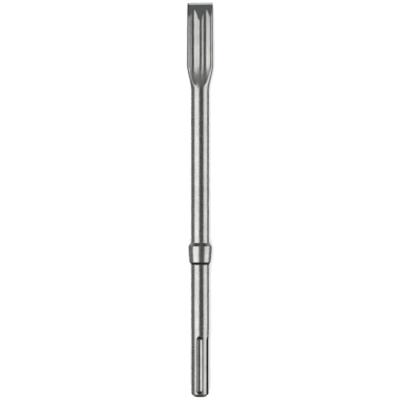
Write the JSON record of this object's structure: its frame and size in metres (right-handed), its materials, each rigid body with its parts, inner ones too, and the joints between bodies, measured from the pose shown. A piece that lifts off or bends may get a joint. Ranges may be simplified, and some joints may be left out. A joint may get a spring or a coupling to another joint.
{
  "type": "flat chisel for a rotary hammer",
  "caption": "Long forged steel flat chisel with a fluted blade, a round shaft, a tapered stop collar and a grooved quick-change shank.",
  "frame": {"origin": "centre of the shank's striking face, on the tool's axis", "axes": "+Y along the tool's axis from the striking face to the cutting edge; +Z out of the blade's upper broad face; +X across the blade. The tool lies on its side."},
  "size_m": [0.0264, 0.4, 0.0238],
  "materials": {
    "forged_steel": "ground and blasted tool steel, darker on the wedge faces"
  },
  "bodies": {
    "root": {"flat_chisel": "forged_steel"}
  },
  "joints": []
}
